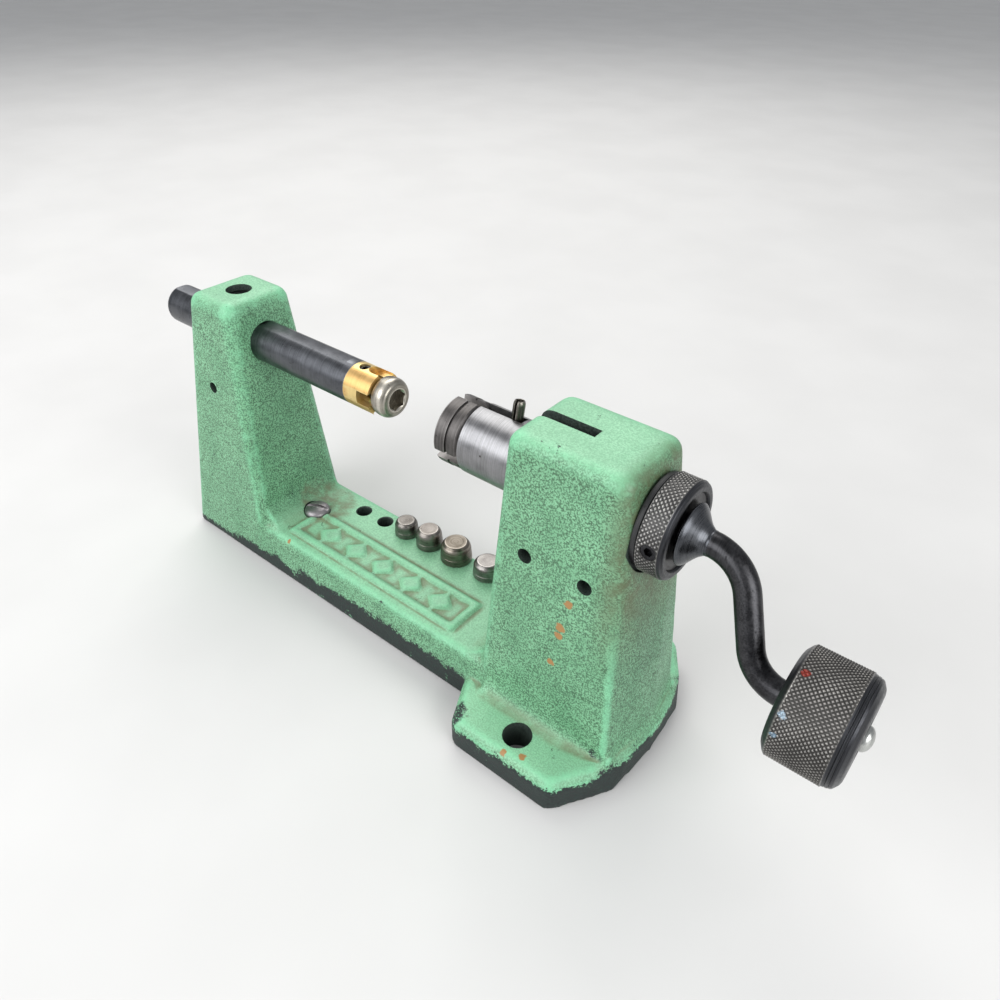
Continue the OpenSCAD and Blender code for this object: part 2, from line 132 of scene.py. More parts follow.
class Finish:
    """One node material, built step by step on its Principled shader."""

    def __init__(self, name):
        self.material = bpy.data.materials.new(name)
        self.material.use_nodes = True
        self.tree = self.material.node_tree
        self.shader = self.tree.nodes["Principled BSDF"]
        self.place = self.node("ShaderNodeTexCoord").outputs["Object"]

    def feed(self, socket, value):
        if isinstance(value, bpy.types.NodeSocket):
            self.tree.links.new(value, socket)
        else:
            socket.default_value = value

    def node(self, kind, inputs=None, **settings):
        made = self.tree.nodes.new(kind)
        for key, value in settings.items():
            setattr(made, key, value)
        for key, value in (inputs or {}).items():
            self.feed(made.inputs[key], value)
        return made

    def noise(self, scale, detail=3.0, roughness=0.55, place=None, distortion=0.0):
        inputs = {
            "Vector": place or self.place,
            "Scale": scale,
            "Detail": detail,
            "Roughness": roughness,
            "Distortion": distortion,
        }
        return self.node("ShaderNodeTexNoise", inputs).outputs["Fac"]

    def math(self, operation, a, b=0.0, clamp=False):
        return self.node("ShaderNodeMath", {0: a, 1: b}, operation=operation, use_clamp=clamp).outputs[0]

    def rise(self, value, low, high, start=0.0, end=1.0):
        """Goes smoothly from start to end as value goes from low to high."""
        inputs = {"Value": value, "From Min": low, "From Max": high, "To Min": start, "To Max": end}
        made = self.node("ShaderNodeMapRange", inputs, interpolation_type="SMOOTHSTEP")
        return made.outputs["Result"]

    def mix(self, share, first, second):
        made = self.node("ShaderNodeMix", data_type="RGBA")
        self.feed(made.inputs[0], share)
        self.feed(made.inputs[6], first)
        self.feed(made.inputs[7], second)
        return made.outputs[2]

    def attribute(self, name):
        return self.node("ShaderNodeAttribute", attribute_name=name).outputs["Fac"]

    def axes(self):
        parts = self.node("ShaderNodeSeparateXYZ", {0: self.place})
        return [parts.outputs[k] for k in range(3)]

    def near(self, point, radius, rough=0.0, scale=900.0):
        """1 inside a ragged ball round a point given in millimetres, 0 outside."""
        ends = {0: self.place, 1: Vector(point) * MM}
        offset = self.node("ShaderNodeVectorMath", ends, operation="SUBTRACT").outputs[0]
        length = self.node("ShaderNodeVectorMath", {0: offset}, operation="LENGTH").outputs["Value"]
        ragged = self.math("MULTIPLY", self.math("SUBTRACT", self.noise(scale, 2), 0.5), rough * MM)
        return self.rise(self.math("ADD", length, ragged), radius * MM, radius * 0.7 * MM)

    def ragged(self, value, noise, amount):
        """The value pushed up and down by a noise."""
        return self.math("ADD", value, self.math("MULTIPLY", self.math("SUBTRACT", noise, 0.5), amount))

    def turned(self, centre, axis=0):
        """Coordinates in which a noise makes a lathe's rings: along the axis and out from it."""
        centre = Vector(centre) * MM
        parts = self.axes()
        others = [k for k in range(3) if k != axis]
        squares = []
        for k in others:
            away = self.math("SUBTRACT", parts[k], centre[k])
            squares.append(self.math("MULTIPLY", away, away))
        radius = self.math("SQRT", self.math("ADD", squares[0], squares[1]))
        drift = self.math("MULTIPLY", parts[others[0]], 0.02)
        along = self.math("ADD", parts[axis], drift)
        return self.node("ShaderNodeCombineXYZ", {0: along, 1: radius, 2: drift}).outputs[0]

    def finish(self, colour, roughness, metallic, heights):
        """Feeds the shader. heights lists bumps as (height, strength, distance in millimetres)."""
        self.feed(self.shader.inputs["Base Color"], colour)
        self.feed(self.shader.inputs["Roughness"], roughness)
        self.feed(self.shader.inputs["Metallic"], metallic)
        normal = None
        for height, strength, distance in heights:
            inputs = {"Height": height, "Strength": strength, "Distance": distance * MM}
            if normal is not None:
                inputs["Normal"] = normal
            normal = self.node("ShaderNodeBump", inputs).outputs[0]
        if normal is not None:
            self.feed(self.shader.inputs["Normal"], normal)
        return self.material


def speckled_green(f, grain, patch):
    """Dark specks in light green, partly the paint's own specks and partly painted shade of its bumps, so with
    less contrast on faces that look up, which also get a painted highlight.
    """
    face = f.attribute("flat_up")
    light = f.mix(f.rise(f.noise(95, 3, 0.6), 0.3, 0.7), *PAINT_LIGHT)
    dark = f.mix(f.rise(patch, 0.3, 0.7), *PAINT_SPECK_AND_BUMP_SHADE)
    # painted shade of the paint's bumps: the dark specks are stronger on steep faces than on tops
    speck_and_shade_share = f.math("SUBTRACT", 0.95, f.math("MULTIPLY", face, 0.45))
    colour = f.mix(f.math("MULTIPLY", f.rise(grain, 0.43, 0.57), speck_and_shade_share), light, dark)
    # painted highlight: lighter green on faces that look up
    return f.mix(f.math("MULTIPLY", f.rise(face, 0.6, 0.95), 0.35), colour, PAINT_TOP_HIGHLIGHT)


def rubbed_and_lit_edges(f, colour, patch):
    # rubbed paint and a painted highlight: paler green on edges that stand out
    rub_and_highlight = f.ragged(f.attribute("edge"), patch, 0.9)
    return f.mix(f.math("MULTIPLY", f.rise(rub_and_highlight, 0.15, 0.9), 0.62), colour, PAINT_RUBBED_AND_LIT_EDGE)


def brown_dirt(f, colour, patch):
    """Dirt in the hollows round raised shapes, at the spindle's crank side and at the tail pillar's root."""
    hollow = f.rise(f.attribute("edge"), -0.05, -0.45)
    hollow = f.math("MULTIPLY", hollow, f.rise(patch, 0.25, 0.6, 0.3, 0.75))
    facing_up = f.rise(f.attribute("flat_up"), 0.5, 0.9)
    colour = f.mix(f.math("MULTIPLY", hollow, facing_up), colour, DIRT_IN_HOLLOWS)
    x, _, z = f.axes()
    grime = f.math("MULTIPLY", f.rise(x, 10.5 * MM, 18.5 * MM), f.rise(z, 35 * MM, 68 * MM))
    grime = f.math("MULTIPLY", grime, f.rise(patch, 0.25, 0.65, 0.35, 0.95))
    colour = f.mix(grime, colour, GRIME_AT_HEAD)
    root = f.near((-109, 5, 17.5), 11, 6, 300)
    root = f.math("MULTIPLY", root, f.rise(patch, 0.35, 0.65, 0.15, 0.75))
    return f.mix(root, colour, STAIN_AT_TAIL)


def worn_band(f):
    """How much of the paint is gone along the bench, from 0 to 1."""
    wobble = f.math("ADD", f.noise(130, 4, 0.6), f.math("MULTIPLY", f.noise(1100, 3, 0.7), 0.8))
    wobble = f.math("MULTIPLY", f.math("SUBTRACT", wobble, 0.9), 2.0)
    return f.rise(f.math("SUBTRACT", f.attribute("band"), wobble), 0.42, 0.62)


def paint():
    """Speckled green hammer paint on rough iron: paler where it is rubbed, with a painted highlight on its edges
    and tops and painted shade of its bumps in the specks, black along the bench.
    """
    f = Finish("green_hammer_paint")
    grain = f.noise(2100, 2.5, 0.65)
    patch = f.noise(320, 4, 0.65)
    colour = speckled_green(f, grain, patch)
    colour = rubbed_and_lit_edges(f, colour, patch)
    colour = brown_dirt(f, colour, patch)
    worn = worn_band(f)
    colour = f.mix(worn, colour, f.mix(f.rise(grain, 0.42, 0.62), *WORN_BLACK))
    for spot, size in SPOTS:
        mark = f.math("MULTIPLY", f.near(spot, size, 4.5, 500), f.rise(grain, 0.36, 0.46))
        colour = f.mix(mark, colour, BLACK_SPOT)
    for chip, size in CHIPS:
        colour = f.mix(f.near(chip, size, 1.7, 700), colour, PRIMER)
    roughness = f.math("ADD", f.rise(grain, 0.3, 0.7, 0.36, 0.56), f.math("MULTIPLY", worn, 0.12))
    return f.finish(colour, roughness, 0.0, [(grain, 0.55, 0.16), (f.noise(640, 3, 0.6), 0.45, 0.25)])


def bare_iron_painted_shade():
    """The insides of the casting's bores, holes and slot: bare iron, painted near black as painted shade inside
    them.
    """
    f = Finish("drilled_iron_painted_shade")
    marks = f.noise(2600, 2)
    # near black: painted shade inside the holes over the bare iron
    colour = f.mix(f.rise(marks, 0.3, 0.7), (0.020, 0.030, 0.026, 1), (0.060, 0.085, 0.070, 1))
    return f.finish(colour, f.rise(marks, 0.3, 0.7, 0.5, 0.75), 0.3, [(marks, 0.3, 0.1)])


def steel(
    name, dark, bright, centre, axis=0, gloss=(0.25, 0.42), lines=0.25, wear=0.35, metallic=1.0, scale=5200
):
    """Turned metal: rings from the tool, cloudy tone, rubbed edges and dark specks. gloss is lowest and
    highest roughness, lines the depth of the rings, scale their fineness, wear how bright the edges are."""
    f = Finish(name)
    rings = f.noise(scale, 2, 0.6, f.turned(centre, axis))
    cloud = f.noise(210, 4, 0.65)
    fine = f.noise(2600, 3, 0.7)
    tone = f.math("ADD", f.math("MULTIPLY", rings, 0.45), f.math("MULTIPLY", cloud, 0.55))
    colour = f.mix(f.rise(tone, 0.32, 0.68), (*dark, 1), (*bright, 1))
    rubbed = f.rise(f.ragged(f.attribute("edge"), fine, 0.6), 0.35, 0.9)
    lifted = [min(1.0, c * 2.2 + 0.06) for c in bright]
    colour = f.mix(f.math("MULTIPLY", rubbed, wear), colour, (*lifted, 1))
    specks = f.rise(f.noise(900, 2, 0.5), 0.66, 0.74)
    colour = f.mix(f.math("MULTIPLY", specks, 0.45), colour, (*[c * 0.35 for c in dark], 1))
    low, high = gloss
    roughness = f.math("ADD", f.rise(tone, 0.25, 0.75, low, high), f.math("MULTIPLY", specks, 0.15), True)
    return f.finish(colour, roughness, metallic, [(rings, lines, 0.02), (fine, 0.10, 0.02)])


def knurled_steel(name, centre, groove, tip):
    """Black knurled steel with oily grooves and bright tips, not finished yet so that marks can be added."""
    f = Finish(name)
    fine = f.noise(1500, 3, 0.7)
    cloud = f.noise(160, 3, 0.6)
    rings = f.noise(7000, 2, 0.6, f.turned(centre, 0))
    worn = f.ragged(f.attribute("tip"), cloud, 0.9)
    colour = f.mix(f.rise(worn, 0.35, 0.95), (*groove, 1), (*tip, 1))
    plain = f.mix(f.rise(rings, 0.3, 0.7), (0.030, 0.031, 0.035, 1), (0.060, 0.062, 0.068, 1))
    colour = f.mix(f.attribute("smooth_band"), colour, plain)
    edge = f.rise(f.ragged(f.attribute("edge"), fine, 0.8), 0.5, 1.1)
    colour = f.mix(f.math("MULTIPLY", edge, 0.35), colour, (0.30, 0.29, 0.28, 1))
    roughness = f.rise(fine, 0.3, 0.7, 0.30, 0.46)
    return f, colour, roughness, [(rings, 0.18, 0.02), (fine, 0.15, 0.02)]


def knob_finish():
    """Knurled steel with small red and blue marks near its inner end."""
    f, colour, roughness, bumps = knurled_steel(
        "knob_knurled_steel", KNOB_LINE, (0.058, 0.056, 0.053), (0.320, 0.308, 0.290)
    )
    low, high = span("crank_knob")
    radius = (high.z - low.z) / 2
    out = Vector((low.x + 2.3, KNOB_LINE.y, KNOB_LINE.z))
    red = out + Vector((0.4, -radius * 0.26, radius * 0.96))
    blue = out + Vector((0.2, -radius * 0.86, radius * 0.50))
    pale = out + Vector((0.2, -radius * 0.985, radius * 0.14))
    colour = f.mix(f.math("MULTIPLY", f.near(red, 0.9, 1.8, 700), 0.8), colour, (0.26, 0.030, 0.020, 1))
    colour = f.mix(f.math("MULTIPLY", f.near(blue, 1.0, 2.0, 900), 0.6), colour, (0.42, 0.55, 0.66, 1))
    colour = f.mix(f.math("MULTIPLY", f.near(pale, 0.8, 1.9, 900), 0.5), colour, (0.33, 0.50, 0.66, 1))
    return f.finish(colour, roughness, 0.9, bumps)


def collar_finish():
    f, colour, roughness, bumps = knurled_steel(
        "collar_knurled_steel", SPINDLE_LINE, (0.065, 0.064, 0.063), (0.420, 0.410, 0.395)
    )
    return f.finish(colour, roughness, 0.9, bumps)


# ---------------------------------------------------------------- meshes


def link(data, name):
    made = bpy.data.objects.new(name, data)
    bpy.context.scene.collection.objects.link(made)
    return made


def mesh_object(name, points, faces):
    """A mesh from points in millimetres."""
    mesh = bpy.data.meshes.new(name)
    mesh.from_pydata([Vector(p) * MM for p in points], [], faces)
    mesh.update()
    return link(mesh, name)


def read(items, field, width, kind=float):
    """One row of numbers for each item of a mesh."""
    values = np.empty(len(items) * width, kind)
    items.foreach_get(field, values)
    return values.reshape(-1, width)


def read_points(mesh):
    return read(mesh.vertices, "co", 3)


def set_value(mesh, name, values):
    held = mesh.attributes.get(name) or mesh.attributes.new(name, "FLOAT", "POINT")
    held.data.foreach_set("value", np.asarray(values, np.float32))


def apply_modifiers(piece):
    graph = bpy.context.evaluated_depsgraph_get()
    made = bpy.data.meshes.new_from_object(piece.evaluated_get(graph))
    old = piece.data
    piece.modifiers.clear()
    piece.data = made
    bpy.data.meshes.remove(old)


def face_outward(piece):
    shape = bmesh.new()
    shape.from_mesh(piece.data)
    bmesh.ops.remove_doubles(shape, verts=shape.verts, dist=1e-7)
    bmesh.ops.recalc_face_normals(shape, faces=shape.faces)
    shape.to_mesh(piece.data)
    shape.free()
    piece.data.update()


def basis(axis):
    """Two unit vectors square to an axis."""
    axis = Vector(axis).normalized()
    side = Vector((0, 0, 1)) if abs(axis.z) < 0.9 else Vector((1, 0, 0))
    first = axis.cross(side).normalized()
    return axis, first, axis.cross(first)


def prism(name, points):
    """A closed shape between two rings of equally many points, the first ring before the second."""
    n = len(points) // 2
    faces = [[k, (k + 1) % n, n + (k + 1) % n, n + k] for k in range(n)]
    faces += [list(range(n))[::-1], list(range(n, 2 * n))]
    made = mesh_object(name, points, faces)
    face_outward(made)
    return made


def rod(start, axis, length, radius, end_radius=None, sides=72, turn=0.0):
    """A closed cylinder, cone or prism, used to cut with or as a raised shape."""
    axis, first, second = basis(axis)
    end_radius = radius if end_radius is None else end_radius
    rings = []
    for reach, r in ((0, radius), (length, end_radius)):
        centre = Vector(start) + axis * reach
        for k in range(sides):
            a = turn + 2 * math.pi * k / sides
            rings.append(centre + (first * math.cos(a) + second * math.sin(a)) * r)
    return prism("cutting_rod", rings)


def block(low, high):
    """A closed box between two corners."""
    points = [(x, y, z) for x in (low[0], high[0]) for y in (low[1], high[1]) for z in (low[2], high[2])]
    faces = [(0, 1, 3, 2), (4, 6, 7, 5), (0, 4, 5, 1), (2, 3, 7, 6), (0, 2, 6, 4), (1, 5, 7, 3)]
    made = mesh_object("cutting_block", points, faces)
    face_outward(made)
    return made


def stadium(start, axis, length, radius, slide):
    """A closed slot shape: a rod swept sideways by slide."""
    axis, first, second = basis(axis)
    slide = Vector(slide)
    steps = 24
    flat = math.atan2(slide.dot(second), slide.dot(first))
    outline = []
    for k in range(steps + 1):
        a = flat + math.pi / 2 + math.pi * k / steps
        outline.append((first * math.cos(a) + second * math.sin(a)) * radius)
    for k in range(steps + 1):
        a = flat - math.pi / 2 + math.pi * k / steps
        outline.append(slide + (first * math.cos(a) + second * math.sin(a)) * radius)
    near_end = [Vector(start) + p for p in outline]
    return prism("cutting_slot", near_end + [p + axis * length for p in near_end])


def turn_about(piece, line, angle):
    """Turns a piece about a line along +X, in millimetres and radians."""
    there = Matrix.Translation(line * MM)
    piece.data.transform(there @ Matrix.Rotation(angle, 4, "X") @ there.inverted())
    return piece


def throw_away(piece):
    mesh = piece.data
    bpy.data.objects.remove(piece)
    bpy.data.meshes.remove(mesh)


def cut(piece, tools, lining=None):
    """Takes each tool's shape out of the piece; the cut faces get the lining."""
    for tool in tools:
        if lining is not None:
            tool.data.materials.append(lining)
        change = piece.modifiers.new("cut", "BOOLEAN")
        change.operation = "DIFFERENCE"
        change.solver = "MANIFOLD"
        change.object = tool
        if lining is not None:
            change.material_mode = "TRANSFER"
        apply_modifiers(piece)
        throw_away(tool)
    return piece


def neighbours_mean(points, edges):
    """The mean of each point's neighbours along the edges."""
    total = np.zeros_like(points)
    count = np.bincount(edges.ravel(), minlength=len(points)).astype(float)
    for here, there in (edges.T, edges.T[::-1]):
        for k in range(3):
            total[:, k] += np.bincount(here, weights=points[there, k], minlength=len(points))
    return total / np.maximum(count, 1)[:, None]


def read_edges(mesh):
    return read(mesh.edges, "vertices", 2, np.int64)


def read_normals(mesh):
    return read(mesh.vertex_normals, "vector", 3)


def relax(mesh, steps, share=0.5):
    points, edges = read_points(mesh), read_edges(mesh)
    for _ in range(steps):
        points += (neighbours_mean(points, edges) - points) * share
    mesh.vertices.foreach_set("co", points.ravel())
    mesh.update()


def bulge(mesh, steps):
    """How far each point stands out from the smoothed shape, in millimetres."""
    points, edges = read_points(mesh), read_edges(mesh)
    smooth = points.copy()
    for _ in range(steps):
        smooth += (neighbours_mean(smooth, edges) - smooth) * 0.6
    return np.einsum("ij,ij->i", points - smooth, read_normals(mesh)) / MM


def soften(outline, closed=False):
    """Rounds the corners of an outline of (along, radius[, rounding]) points."""
    made = []
    count = len(outline)
    for k, point in enumerate(outline):
        p = np.array(point[:2], float)
        rounding = point[2] if len(point) > 2 else 0.12
        if (not closed and k in (0, count - 1)) or rounding == 0:
            made.append(tuple(p))
            continue
        before = np.array(outline[k - 1][:2], float) - p
        after = np.array(outline[(k + 1) % count][:2], float) - p
        lengths = np.linalg.norm(before), np.linalg.norm(after)
        reach = min(rounding, 0.45 * lengths[0], 0.45 * lengths[1])
        a, b = p + before / lengths[0] * reach, p + after / lengths[1] * reach
        hold = 0.12 * reach
        made.append(tuple(a + before / lengths[0] * hold))
        for t in (0, 0.25, 0.5, 0.75, 1):
            made.append(tuple(a * (1 - t) ** 2 + p * 2 * t * (1 - t) + b * t * t))
        made.append(tuple(b + after / lengths[1] * hold))
    return made


def strip_faces(rows, sides, closed=False):
    """Faces between neighbouring rings of points, and back to the first ring when closed."""
    faces = []
    for i in range(rows if closed else rows - 1):
        j = (i + 1) % rows
        for k in range(sides):
            m = (k + 1) % sides
            faces.append((i * sides + k, i * sides + m, j * sides + m, j * sides + k))
    return faces


def diamond_height(u, v):
    """The raised diamonds between two crossing sets of grooves, 0 in a groove and 1 on a tip."""
    slants = [np.abs((u + s * v) - np.round(u + s * v)) * 2 for s in (1, -1)]
    return np.minimum(np.minimum(*slants) * 1.15, 1)


def lathe(name, outline, line, axis=(1, 0, 0), sides=128, closed=False, knurl=None):
    """A turned piece. knurl is (start, end, radius, pitch, depth) of a band of raised diamonds."""
    rows = soften(outline, closed)
    if knurl:
        start, end, radius, pitch, depth = knurl
        steps = int(round((end - start) / pitch * KNURL_STEPS))
        at = max(k for k, p in enumerate(rows) if p[0] <= start + 1e-6 and abs(p[1] - radius) < 1e-6)
        rows[at + 1 : at + 1] = [(start + (end - start) * k / steps, radius) for k in range(1, steps)]
        diamonds = int(round(2 * math.pi * radius / pitch))
        sides = diamonds * KNURL_STEPS
    rows = np.array(rows)
    angles = np.linspace(0, 2 * math.pi, sides, endpoint=False)
    along = np.repeat(rows[:, 0], sides)
    out = np.repeat(rows[:, 1], sides)
    turn = np.tile(angles, len(rows))
    tip = np.full(len(out), 0.5)
    band = np.zeros(len(out))
    if knurl:
        on = (np.abs(out - radius) < 1e-6) & (along > start - 1e-6) & (along < end + 1e-6)
        height = diamond_height(turn / (2 * math.pi) * diamonds, (along - start) / pitch)
        fade = np.clip(np.minimum(along - start, end - along) / (0.35 * pitch), 0, 1)
        out = np.where(on, out - depth * (1 - height) * fade, out)
        tip = np.where(on, height, tip)
        band = np.where(on, 0.0, 1.0)
    axis, first, second = basis(axis)
    line = np.array(line)
    points = line + np.outer(along, axis)
    points = points + out[:, None] * (np.outer(np.cos(turn), first) + np.outer(np.sin(turn), second))
    made = mesh_object(name, points.tolist(), strip_faces(len(rows), sides, closed))
    if knurl:
        set_value(made.data, "tip", tip)
        set_value(made.data, "smooth_band", band)
    face_outward(made)
    return made


def dome(base, lift, tall, radius, fullness=1.0):
    """Outline points of a round head, from its edge of height lift almost to its middle."""
    made = []
    for a in (math.radians(d) for d in range(0, 85, 12)):
        made.append((base + lift + (tall - lift) * math.sin(a), radius * math.cos(a) ** fullness, 0.05))
    return made


def place(piece, node, finish, sharp=32):
    """Gives a piece its finish and puts it on the body of the CAD node that it stands for."""
    mesh = piece.data
    if not mesh.materials:
        mesh.materials.append(finish)
    else:
        mesh.materials[0] = finish
    mesh.shade_smooth()
    mesh.set_sharp_from_angle(angle=math.radians(sharp))
    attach(piece, body_of_node[node])
    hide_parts(node)
    return piece


def rim_wear(piece, steps=6, scale=0.06):
    """Stores where a turned piece stands out at its edges."""
    set_value(piece.data, "edge", np.clip(bulge(piece.data, steps) / scale, -1, 1.5))


def dress(node, finish):
    """Gives a CAD node that is shown as it is a finish and softened edges."""
    piece = frame["nodes"][node]
    piece.data.materials.clear()
    piece.data.materials.append(finish)
    weld = piece.modifiers.new("weld", "WELD")
    weld.merge_threshold = 1e-6
    soft = piece.modifiers.new("soften", "BEVEL")
    soft.width = 0.12 * MM
    soft.segments = 2
    soft.limit_method = "ANGLE"
    soft.angle_limit = math.radians(40)


# ---------------------------------------------------------------- the casting


def hull(points):
    shape = bmesh.new()
    for p in points:
        shape.verts.new(Vector(p))
    done = bmesh.ops.convex_hull(shape, input=shape.verts)
    loose = [g for g in done["geom_interior"] if isinstance(g, bmesh.types.BMVert)]
    bmesh.ops.delete(shape, geom=loose, context="VERTS")
    mesh = bpy.data.meshes.new("hull")
    shape.to_mesh(mesh)
    shape.free()
    return link(mesh, "hull")


def fillet(start, end, side, radii):
    """The hollow corner strip along a line from start to end. Side points away from the wall."""
    steps, sink = 10, -2
    points = []
    for corner, radius in ((start, radii[0]), (end, radii[1])):
        turns = [math.pi / 2 * k / steps for k in range(steps + 1)]
        arc = [(radius * (1 - math.sin(t)), radius * (1 - math.cos(t))) for t in turns]
        arc = [(sink, sink), (radius, sink), *arc, (sink, radius)]
        points += [Vector(corner) + Vector(side) * out + Vector((0, 0, up)) for out, up in arc]
    return prism("fillet", points)


def fillets():
    """The roots of the pillars: across the base bar, and along the foot on both sides."""
    wide = BASE_HALF - 3.6
    tail, head = TAIL_FOOT - 0.9, HEAD_FOOT + 0.7
    tail_r, head_r, side_r, end_r = 8.5, 7, 4.6, 0.8
    made = [
        fillet((tail, -wide, BASE_TOP), (tail, wide, BASE_TOP), (1, 0, 0), (tail_r, tail_r)),
        fillet((head, -wide, BASE_TOP), (head, wide, BASE_TOP), (-1, 0, 0), (head_r, head_r)),
    ]
    wall = BASE_HALF - 0.7
    for side in (-1, 1):
        left, middle, right = (
            (HEAD_FOOT + 3, side * wall, FOOT_TOP),
            (10, side * wall, FOOT_TOP),
            (24, side * (wall - 0.5), FOOT_TOP),
        )
        made.append(fillet(left, middle, (0, side, 0), (side_r, side_r)))
        made.append(fillet(middle, right, (0, side, 0), (side_r, end_r)))
    return made


def panel_pieces():
    """The raised border on the base bar and the plain lozenges in it."""
    left, right, front, back = -107.6, -34.8, -13.0, 0.75
    rim, raised, sink = 1.9, 1.0, 1.5
    first, pitch, foot_r, top_r = -95, 12.4, 4.3, 3.9
    low, high = BASE_TOP - sink, BASE_TOP + raised
    bars = [
        ((left, front), (right, front + rim)),
        ((left, back - rim), (right, back)),
        ((left, front), (left + rim, back)),
        ((right - rim, front), (right, back)),
    ]
    made = [block((*a, low), (*b, high)) for a, b in bars]
    for k in range(5):
        centre = Vector((first + pitch * k, (front + back) / 2, low))
        made.append(rod(centre, (0, 0, 1), sink + raised * 0.95, foot_r, top_r, sides=4))
    return made


def casting_blocks():
    """Hulls of the CAD casting's own corners: tail pillar, head pillar, base bar and bolting foot."""
    points = read_points(frame["nodes"]["frame_casting"].data)
    x, y, z = (points / MM).T
    near = 0.05
    tail = x < TAIL_FOOT + 2 * near
    head = (x > HEAD_FOOT - 2 * near) & (z > FOOT_TOP - near) & (np.abs(y) < BASE_HALF)
    bar = (z < BASE_TOP + near) & (np.abs(y) < BASE_HALF + near) & (x < HEAD_FOOT + 4)
    foot = (z < FOOT_TOP + near) & (x > FOOT_LEFT)
    return [hull(points[chosen]) for chosen in (tail, head, bar, foot)]


def melted(parts, name):
    """One softly joined skin round closed parts that overlap."""
    whole = bmesh.new()
    for part in parts:
        whole.from_mesh(part.data)
        throw_away(part)
    mesh = bpy.data.meshes.new(name)
    whole.to_mesh(mesh)
    whole.free()
    piece = link(mesh, name)
    grid = piece.modifiers.new("grid", "REMESH")
    grid.mode = "VOXEL"
    grid.voxel_size = 0.72 * MM
    apply_modifiers(piece)
    relax(piece.data, 3)
    return piece


def bores():
    """Cuts for the shaft, the sleeve, the washer, the sawn slot and the two screws from above."""
    shaft, washer = span("cutter_shaft")[0].x, span("thrust_washer")[0].x
    lock, hold = middle("shaft_lock_screw").x, middle("hold_down_screw").x
    washer_seat_r, slot_end, up = 12.8, 0.7, 30
    return [
        rod((shaft - 9, 0, AXIS_H), (1, 0, 0), THROUGH, half_width("cutter_shaft") + FIT),
        rod((HEAD_FOOT - 10, 0, AXIS_H), (1, 0, 0), THROUGH, half_width("spindle_sleeve") + FIT),
        rod((washer - FIT, 0, AXIS_H), (1, 0, 0), 20, washer_seat_r),
        block((HEAD_FOOT - 9.5, -PIN_SLOT / 2, AXIS_H), (slot_end, PIN_SLOT / 2, AXIS_H + up)),
        rod((lock, 0, AXIS_H), (0, 0, 1), up, half_width("shaft_lock_screw") + FIT),
        rod((hold, 0, BASE_TOP), (0, 0, 1), 12, half_width("hold_down_screw") + 0.25),
    ]


def bolt_holes():
    dims = mounts["bench_bolts"]["dims"]
    places = [(0, side * dims["spacing_y_mm"] / 2, -1) for side in (-1, 1)]
    return [rod(at, (0, 0, 1), FOOT_TOP + 6, dims["hole_r_mm"]) for at in places]


def storage_holes():
    """The two empty holes and the four under spare pilots, each with a slight countersink."""
    deep, r = STORAGE["dims"]["length_mm"], STORAGE["dims"]["r_mm"]
    sink, sink_r = 0.35, 3.6
    holes = [Vector(mounts[f"storage_hole_{k}"]["pos_m"]) / MM for k in (1, 2)]
    holes += [middle(f"stored_pilot_{k}") for k in (1, 2, 3, 4)]
    tools = []
    for hole in holes:
        tools.append(rod((hole.x, hole.y, BASE_TOP - deep), (0, 0, 1), 20, r))
        tools.append(rod((hole.x, hole.y, BASE_TOP - sink), (0, 0, 1), 1.2, r, sink_r))
    return tools


def accessory_holes():
    """Blind holes in the front faces: two in the head pillar and one in the tail pillar."""
    head, tail = mounts["head_accessory_holes"], mounts["tail_accessory_hole"]
    middle, single = Vector(head["pos_m"]) / MM, Vector(tail["pos_m"]) / MM
    half = head["dims"]["spacing_x_mm"] / 2
    tools = [
        rod((middle.x + side * half, -4.5, middle.z), (0, -1, 0), 20, head["dims"]["hole_r_mm"])
        for side in (-1, 1)
    ]
    return [*tools, rod((single.x, -8.5, single.z), (0, -1, 0), 12, tail["dims"]["r_mm"])]


def store_casting_wear_and_light_masks(mesh, skin, stand):
    """Stores what the paint reads: how far the uncut skin stood out (for rubbed edges with a painted highlight,
    and for dirt), facing up (for the painted top highlight and for dirt), and the worn band.
    """
    points, normals = read_points(mesh), read_normals(mesh)
    tree = kdtree.KDTree(len(skin))
    for k, p in enumerate(skin):
        tree.insert(p, k)
    tree.balance()
    set_value(mesh, "edge", np.array([stand[tree.find(p)[1]] for p in points]))
    set_value(mesh, "flat_up", np.clip(normals[:, 2], 0, 1))
    x, _, z = (points / MM).T
    start, run, low, gain, fade = -157, 80, 4.2, 5.2, 4.5
    on_bar = low + gain * np.clip((x - start) / run, 0, 1)
    height = np.where(x > FOOT_LEFT, FOOT_TOP - 0.6, on_bar)
    steep = np.clip(1 - np.abs(normals[:, 2]) * 1.15, 0, 1)
    band = np.clip((height + 1.0 - z) / fade, 0, 1) * np.clip(steep * 1.6, 0, 1)
    set_value(mesh, "band", np.where(z < 0.6, 1, band))


def casting():
    green, bare_shaded = paint(), bare_iron_painted_shade()
    piece = melted(casting_blocks() + fillets() + panel_pieces(), "casting")
    skin = read_points(piece.data)
    stand = np.clip(bulge(piece.data, 10) / 0.30, -1, 1.5)
    piece.data.materials.append(green)
    # the cut faces get bare iron painted near black as shade
    cut(piece, bores() + bolt_holes() + storage_holes() + accessory_holes(), bare_shaded)
    store_casting_wear_and_light_masks(piece.data, skin, stand)
    return place(piece, "frame_casting", green, 40)


# ---------------------------------------------------------------- the cutter side


